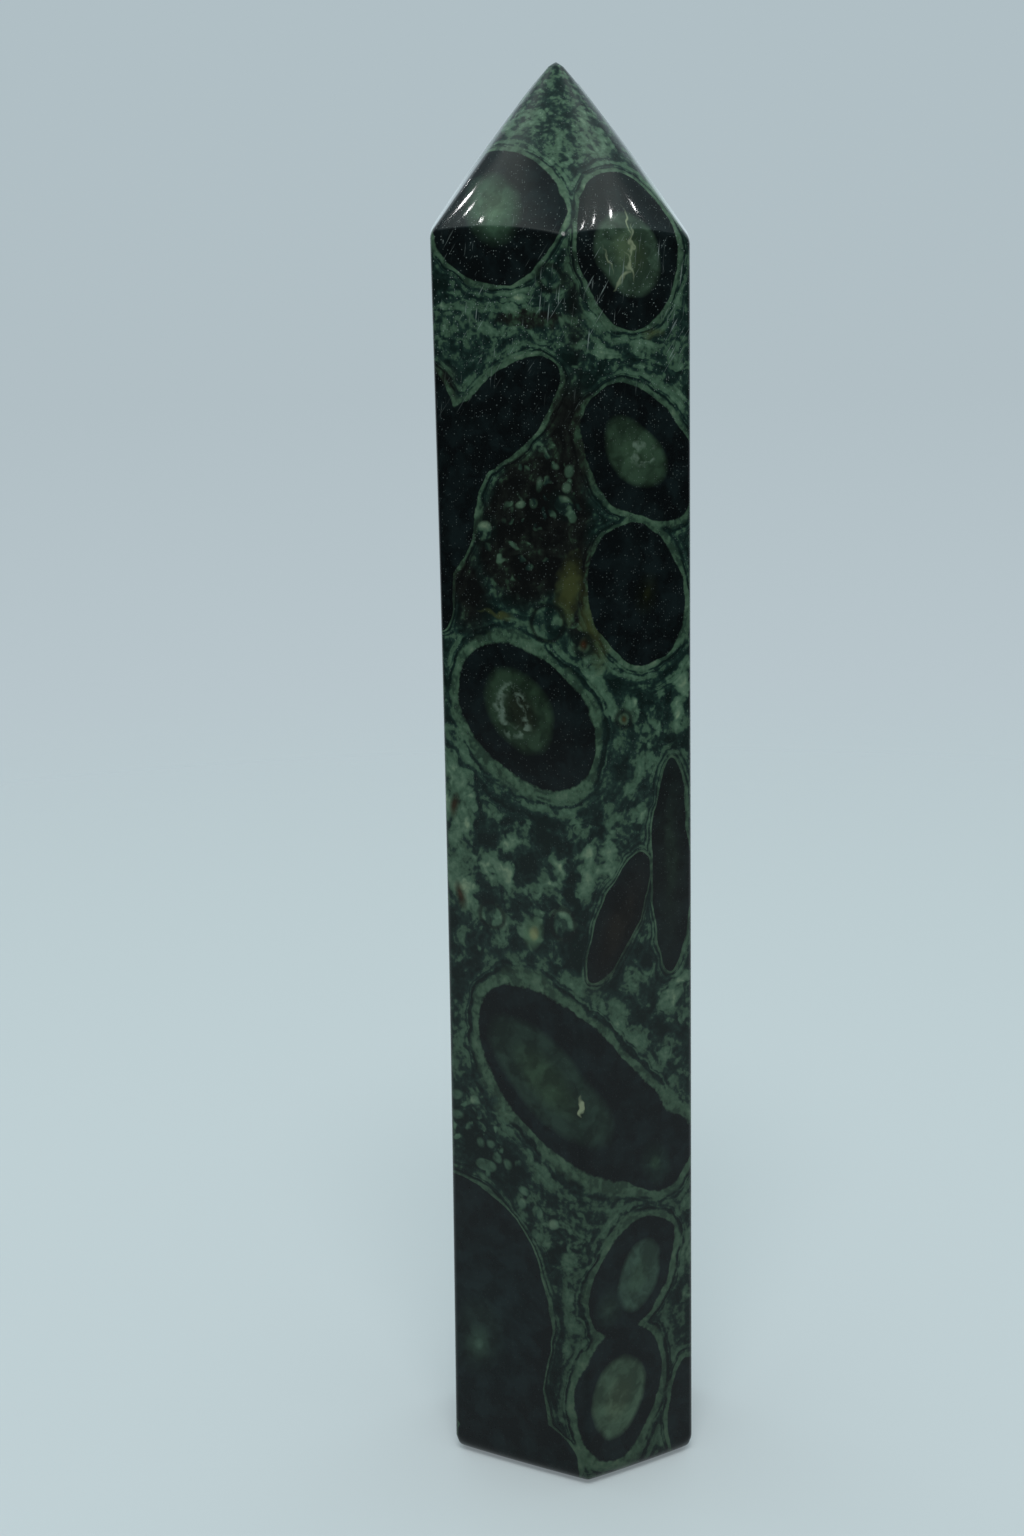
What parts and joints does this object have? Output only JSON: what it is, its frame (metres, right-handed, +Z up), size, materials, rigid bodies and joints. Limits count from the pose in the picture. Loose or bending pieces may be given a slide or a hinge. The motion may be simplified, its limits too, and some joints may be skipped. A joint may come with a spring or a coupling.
{
  "type": "kambaba jasper tower",
  "caption": "Polished dark green jasper tower: a hexagonal stone column that rises to a faceted point and stands on its flat base.",
  "frame": {"origin": "centre of the outline seen from above, on the surface that the tower stands on", "axes": "+Z up along the column to its point; -Y towards the corner of the column that faces the viewer; +X to the viewer's right"},
  "size_m": [0.0216, 0.0246, 0.1213],
  "materials": {
    "polished_jasper": "high polish"
  },
  "bodies": {
    "root": {"tower": "polished_jasper"}
  },
  "joints": []
}
